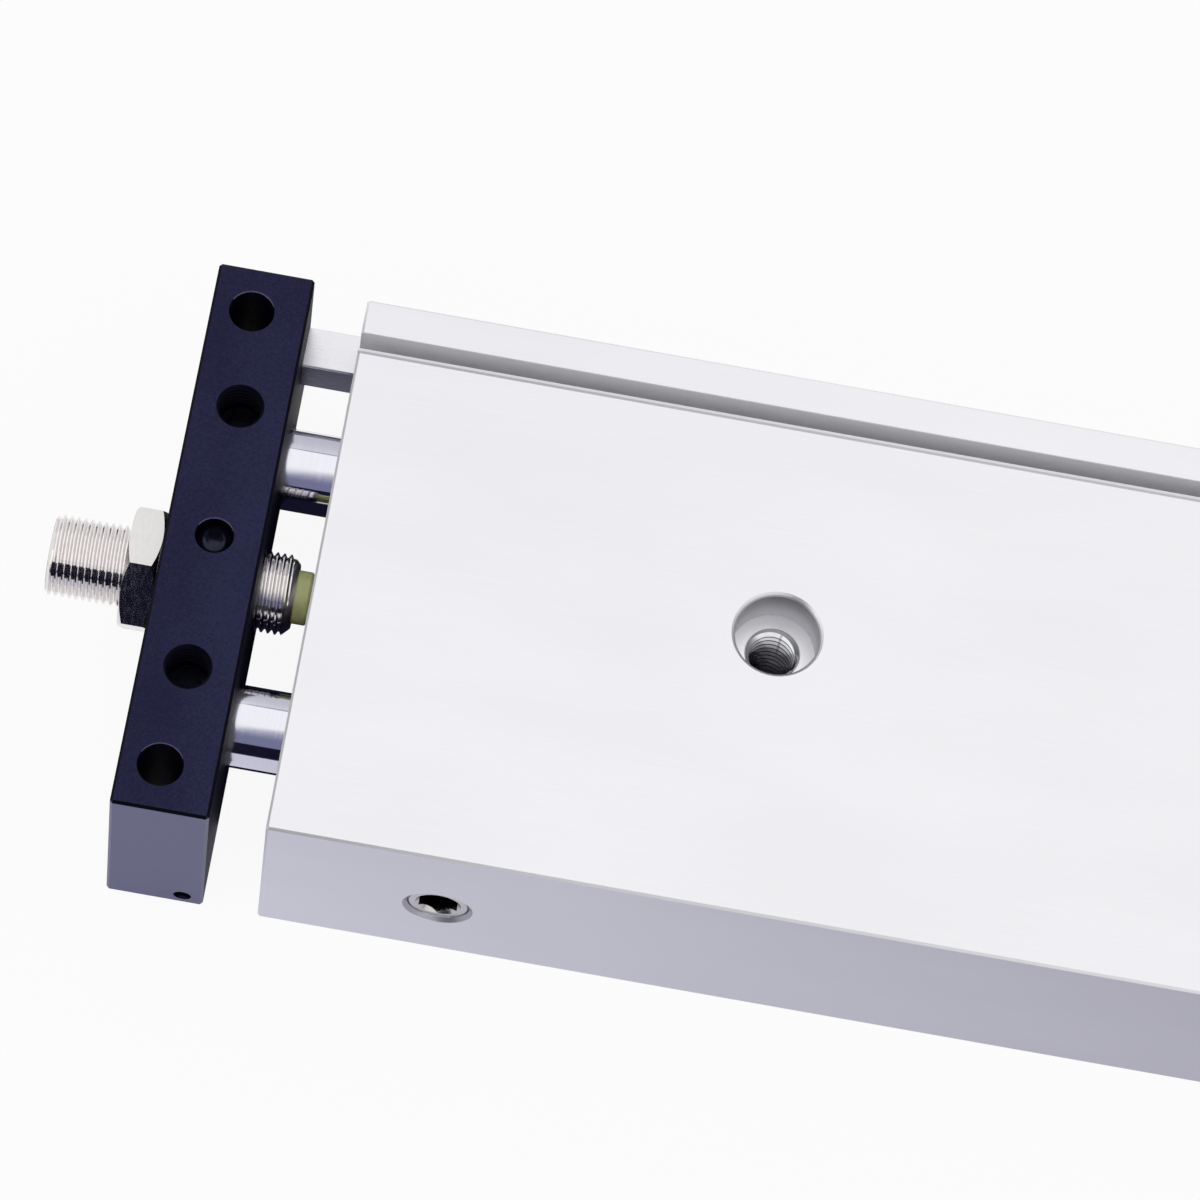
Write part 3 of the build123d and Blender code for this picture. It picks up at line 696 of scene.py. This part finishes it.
# %% Finish the screws and the cut threads
screw_shine = 0.45
screw_tint = (0.6, 0.65, 1.0, 1.0)
screw_finish = stock_finish(
    "blackened_steel",
    dark=(0.002, 0.002, 0.007),
    light=(0.005, 0.005, 0.014),
    marks=(0.6, 0.6, 0.6),
    gloss=(0.18, 0.25),
    depth=0.0005,
    metallic=0.0,
)
shader_of(screw_finish).inputs["Specular IOR Level"].default_value = screw_shine
shader_of(screw_finish).inputs["Specular Tint"].default_value = screw_tint
thread_finish = stock_finish(
    "cut_thread",
    dark=(0.76, 0.76, 0.78),
    light=(0.84, 0.84, 0.86),
    marks=(0.6, 0.6, 0.6),
    gloss=(0.10, 0.16),
    depth=0.0005,
)
# The thread is painted darker from 1 mm to 6 mm into the hole: a painted shade for the depth.
thread_dark_from, thread_dark_to = 1.0 * mm, 6.0 * mm
deep_thread_painted_shade = (0.13, 0.13, 0.135)
tree = thread_finish.node_tree
depth = place_along(tree, "X")
deep = between(tree, depth, 0.0, 1.0, from_low=thread_dark_from, from_high=thread_dark_to)
recolour(thread_finish, deep, deep_thread_painted_shade)
print("screw and thread finishes:", screw_finish.name, thread_finish.name)

# %% [markdown]
# ## Soft and sliding materials
# The absorber's cap is cast urethane, a waxy olive green that light enters a little way. The
# seals are black rubber, the bushes are oily bronze, and the wear rings and magnets are plastic
# bound. Most of these are hidden, but a piece that is lifted out of the model still has to look
# like what it is.

# %% Finish the soft and sliding pieces
light_into_cap = 0.15
light_depth_in_cap = 1.0 * mm
cap_finish = stock_finish(
    "olive_urethane",
    dark=(0.64, 0.69, 0.25),
    light=(0.78, 0.82, 0.37),
    marks=(1.2, 1.2, 1.2),
    gloss=(0.30, 0.38),
    depth=0.01,
    metallic=0.0,
    clouds=(6, 6, 6),
)
shader_of(cap_finish).inputs["Subsurface Weight"].default_value = light_into_cap
shader_of(cap_finish).inputs["Subsurface Scale"].default_value = light_depth_in_cap
rubber_finish = stock_finish(
    "black_rubber",
    dark=(0.012, 0.012, 0.012),
    light=(0.030, 0.030, 0.030),
    marks=(0.5, 0.5, 0.5),
    gloss=(0.55, 0.72),
    depth=0.01,
    metallic=0.0,
)
bronze_finish = stock_finish(
    "oiled_bronze",
    dark=(0.42, 0.25, 0.12),
    light=(0.60, 0.40, 0.20),
    marks=(0.4, 0.4, 0.4),
    gloss=(0.30, 0.45),
    depth=0.006,
)
wear_finish = stock_finish(
    "bearing_plastic",
    dark=(0.30, 0.19, 0.10),
    light=(0.42, 0.28, 0.16),
    marks=(0.8, 0.8, 0.8),
    gloss=(0.45, 0.60),
    depth=0.005,
    metallic=0.0,
)
magnet_finish = stock_finish(
    "bonded_magnet",
    dark=(0.06, 0.06, 0.065),
    light=(0.11, 0.11, 0.115),
    marks=(0.4, 0.4, 0.4),
    gloss=(0.50, 0.62),
    depth=0.008,
    metallic=0.0,
)
print("soft and sliding finishes:", [m.name for m in (cap_finish, rubber_finish, bronze_finish)])

# %% [markdown]
# ## Giving every solid its finish
# Each solid is already the right shape, so it keeps its mesh and only changes its finish. A list
# of all 59 names would be long and easy to get wrong. The names start with what the piece is, so
# the longest matching start decides.

# %% Dress the solids
finish_by_start = {
    "body_extrusion": body_finish,
    "rail": rail_finish,
    "end_plate_left": plate_finishes["left"],
    "end_plate_right": plate_finishes["right"],
    "rod_front": rod_finish,
    "rod_back": rod_finish,
    "rod_cover": turned_finish,
    "rod_bush": bronze_finish,
    "rod_seal": rubber_finish,
    "cover_o_ring": rubber_finish,
    "circlip": screw_finish,
    "bumper": rubber_finish,
    "piston": turned_finish,
    "piston_seal": rubber_finish,
    "piston_magnet": magnet_finish,
    "piston_pins": spring_finish,
    "wear_ring": wear_finish,
    "port_plug": plug_finish,
    "clamp_screws": screw_finish,
    "lock_screw": screw_finish,
    "passage_balls": spring_finish,
    "absorber_sleeve": nickel_finish,
    "absorber_nut": nut_finish,
    "absorber_guide": bronze_finish,
    "plunger": rod_finish,
    "plunger_cap": cap_finish,
    "plunger_spring": spring_finish,
}
for node, solid in frame["nodes"].items():
    start = max((start for start in finish_by_start if node.startswith(start)), key=len)
    solid.data.materials.clear()
    solid.data.materials.append(finish_by_start[start])
print("dressed:", len(frame["nodes"]), "solids in", len(set(finish_by_start.values())), "finishes")

# %% [markdown]
# ## Winding a true screw thread
# A thread drawn as a stack of rings looks right only from far away: a real one climbs. It could
# be made with the Screw modifier, but its ends then need cutting and closing by hand. Here the
# points are laid out row by row round the axis. Each row holds the same profile, moved on by a
# share of the pitch, and points that would pass an end are drawn back to it, where a slope lets
# the thread run out. The last row falls on the first, and merging them closes the surface.


# %% Helpers that wind a thread
same_point = 0.0005 * mm
sharp_edge = math.radians(28)
thread_half_angle = math.radians(30)


def wound_rows(length, pitch, profile, start_radius, end_radius, slope, steps):
    """Rows of (place along, radius) round the axis. The profile lists (share of pitch, radius).
    The thread comes out of start_radius and runs into end_radius, and the slope says how fast."""
    limit_by = min if slope > 0 else max
    rows = []
    for step in range(steps + 1):
        row = []
        for turn in range(-1, math.ceil(length / pitch) + 1):
            for share, radius in profile:
                place = (step / steps + turn + share) * pitch
                place = min(max(place, 0.0), length)
                at_start = start_radius + slope * place
                at_end = end_radius + slope * (length - place)
                row.append((place, limit_by(radius, at_start, at_end)))
        rows.append(row)
    return rows


def wound_piece(name, rows, before, after, finish):
    """A closed mesh along +X from wound rows, with a plain outline before and after them."""
    steps = len(rows) - 1
    shape = bmesh.new()
    columns = []
    for step, row in enumerate(rows):
        turn = 2 * math.pi * step / steps
        across = Vector((0, math.cos(turn), math.sin(turn)))
        column = []
        for place, radius in before + row + after:
            column.append(shape.verts.new(across * radius + Vector((place, 0, 0))))
        columns.append(column)
    for this, following in zip(columns, columns[1:]):
        for a, b, c, d in zip(this, this[1:], following[1:], following):
            shape.faces.new((a, b, c, d))
    bmesh.ops.remove_doubles(shape, verts=shape.verts, dist=same_point)
    bmesh.ops.dissolve_degenerate(shape, edges=shape.edges, dist=same_point)
    bmesh.ops.recalc_face_normals(shape, faces=shape.faces)
    mesh = bpy.data.meshes.new(name)
    shape.to_mesh(mesh)
    shape.free()
    mesh.shade_smooth()
    mesh.set_sharp_from_angle(angle=sharp_edge)
    mesh.materials.append(finish)
    piece = bpy.data.objects.new(name, mesh)
    bpy.context.scene.collection.objects.link(piece)
    return piece


def v_profile(crest, root, pitch):
    """One pitch of a 60 degree thread. The crest and the root share what the flanks leave."""
    flank = abs(crest - root) * math.tan(thread_half_angle) / pitch
    flat = 0.5 - flank
    return [(0.0, crest), (flat, crest), (0.5, root), (0.5 + flat, root)]


# %% [markdown]
# ## The absorber's sleeve
# The sleeve is a nickel-plated tube with a fine thread along its whole length, so that the
# absorber can be screwed in or out to set where the table stops. Its open end looks at the body,
# and its closed end has a socket for a hexagon key. The thread is wound, and the socket is then
# cut with a Boolean, which is simpler than weaving six flats into the wound rows.

# %% Wind both sleeves
sleeve_pitch = 1.0 * mm
sleeve_thread_depth = 0.54 * mm
sleeve_bore = 4.1 * mm
sleeve_back_wall = 4.0 * mm
sleeve_mouth_chamfer = 1.2 * mm
sleeve_back_chamfer = 0.5 * mm
sleeve_steps = 72
socket_width = 4.0 * mm
socket_depth = 2.0 * mm


def socket_cutter():
    """A six-sided bar along X, with a corner upwards and its middle at the origin."""
    corner_radius = socket_width / 2 / math.cos(math.radians(30))
    turn = Matrix.Rotation(math.radians(30), 4, "X") @ Matrix.Rotation(math.radians(90), 4, "Y")
    shape = bmesh.new()
    bmesh.ops.create_cone(
        shape, cap_ends=True, segments=6, depth=2 * socket_depth,
        radius1=corner_radius, radius2=corner_radius, matrix=turn,
    )
    mesh = bpy.data.meshes.new("socket_cutter")
    shape.to_mesh(mesh)
    shape.free()
    cutter = bpy.data.objects.new("socket_cutter", mesh)
    bpy.context.scene.collection.objects.link(cutter)
    return cutter


def cut_socket(piece, place):
    """Cut the hexagon socket into the closed end of a sleeve that lies along +X."""
    cutter = socket_cutter()
    cutter.location = (place, 0, 0)
    cut = piece.modifiers.new("socket", "BOOLEAN")
    cut.operation = "DIFFERENCE"
    cut.object = cutter
    cut.solver = "EXACT"
    bpy.context.view_layer.update()
    as_cut = piece.evaluated_get(bpy.context.evaluated_depsgraph_get())
    result = bpy.data.meshes.new_from_object(as_cut)
    piece.modifiers.clear()
    piece.data = result
    bpy.data.objects.remove(cutter)


def wind_sleeve(side):
    """A threaded sleeve in place of the plain solid, with its mouth towards the body."""
    low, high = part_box(f"absorber_sleeve_{side}")
    middle = (low + high) / 2
    length = high.x - low.x
    crest = (high.y - low.y) / 2
    rows = wound_rows(
        length,
        sleeve_pitch,
        v_profile(crest, crest - sleeve_thread_depth, sleeve_pitch),
        start_radius=crest - sleeve_mouth_chamfer,
        end_radius=crest - sleeve_back_chamfer,
        slope=1.0,
        steps=sleeve_steps,
    )
    bore_end = length - sleeve_back_wall
    before = [(bore_end, 0.0), (bore_end, sleeve_bore), (0.0, sleeve_bore)]
    sleeve = wound_piece(f"threaded_sleeve_{side}", rows, before, [(length, 0.0)], nickel_finish)
    cut_socket(sleeve, length)
    if side == "left":
        sleeve.rotation_euler.z = math.pi
        sleeve.location = (high.x, middle.y, middle.z)
    else:
        sleeve.location = (low.x, middle.y, middle.z)
    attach(sleeve, "carriage")
    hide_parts(f"absorber_sleeve_{side}")
    return sleeve


for side in ("left", "right"):
    sleeve = wind_sleeve(side)
    print(sleeve.name, round(sleeve.dimensions.x / mm, 1), "mm long, faces:", len(sleeve.data.polygons))

# %% [markdown]
# ## Threads inside the holes
# The two mounting holes, the plates' air ports and the holes above the clamp screws are tapped. A
# tapped hole that has no thread looks wrong at once, because the light catches every turn of a
# real one. The solid keeps its plain drilled hole, and a thin lining with the thread on its
# inside is set into it. That is also how a damaged thread is mended on a real body.

# %% A helper that lines a hole
lining_into_wall = 0.05 * mm
lining_stand = 0.02 * mm
lining_steps = 48


def line_hole(name, mouth, direction, hole_radius, length, pitch, depth, body, finish):
    """A thin threaded lining that starts at the mouth and follows a direction into the hole."""
    root = hole_radius - lining_stand
    profile = v_profile(root - depth, root, pitch)
    rows = wound_rows(length, pitch, profile, root, root, slope=-1.0, steps=lining_steps)
    wall = hole_radius + lining_into_wall
    lining = wound_piece(name, rows, [(0.0, wall)], [(length, wall), (0.0, wall)], finish)
    lining.rotation_mode = "QUATERNION"
    lining.rotation_quaternion = Vector(direction).to_track_quat("X", "Z")
    lining.location = mouth
    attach(lining, body)
    return lining


# %% Line the mounting holes and the air ports
body_top = body_high.z
counterbore_depth = 7.0 * mm
mouth_flare = 0.1 * mm
mounting_pitch, mounting_depth = 1.25 * mm, 0.56 * mm
port_pitch, port_thread_depth = 0.8 * mm, 0.3 * mm
mounts = {mount["name"]: mount for mount in frame["record"]["mounts"]}
mounting_holes = mounts["body_bolts"]["dims"]
hole_radius = mounting_holes["hole_r_mm"] * mm
hole_place = mounting_holes["spacing_x_mm"] * mm / 2
thread_length = body_top - 2 * (counterbore_depth + mouth_flare)
for side, sign in (("left", -1), ("right", 1)):
    mouth = Vector((sign * hole_place, 0, body_top - counterbore_depth - mouth_flare))
    line_hole(
        f"mounting_thread_{side}", mouth, (0, 0, -1), hole_radius, thread_length,
        mounting_pitch, mounting_depth, "housing", thread_finish,
    )
    port = mounts[f"{side}_air_port"]
    outer_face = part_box(f"end_plate_{side}")[0 if side == "left" else 1].x
    mouth = Vector((outer_face, *port["pos_m"][1:]))
    line_hole(
        f"air_port_thread_{side}", mouth, (-sign, 0, 0), port["dims"]["r_mm"] * mm,
        port["dims"]["length_mm"] * mm, port_pitch, port_thread_depth, "carriage", lining_painted_shade_finish,
    )
print("thread length in the mounting holes:", round(thread_length / mm, 1), "mm")

# %% Line the holes above the clamp screws
screw_pitch, screw_thread_depth = 1.0 * mm, 0.28 * mm
screw_play = 0.02 * mm
for side in ("left", "right"):
    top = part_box(f"end_plate_{side}")[1].z
    for lane in ("front", "back"):
        rod_low, rod_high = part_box(f"rod_{lane}")
        screw_low, screw_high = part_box(f"clamp_screws_{side}")
        middle_x = (screw_low.x + screw_high.x) / 2
        radius = (screw_high.x - screw_low.x) / 2 + screw_play
        mouth = Vector((middle_x, (rod_low.y + rod_high.y) / 2, top))
        line_hole(
            f"clamp_screw_thread_{lane}_{side}", mouth, (0, 0, -1), radius, top - screw_high.z,
            screw_pitch, screw_thread_depth, "carriage", lining_painted_shade_finish,
        )
print("depth above the clamp screws:", round((top - screw_high.z) / mm, 1), "mm")

# %% [markdown]
# ## The size after dressing
# Dressing must not make the object bigger. The box round everything is measured again and
# printed beside the first one, so that the two can be compared.

# %% Print both boxes
dressed_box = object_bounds()


for name, box in (("solids", cad_box), ("dressed", dressed_box)):
    print(name, "box in mm:", [[round(value / mm, 1) for value in corner] for corner in box])
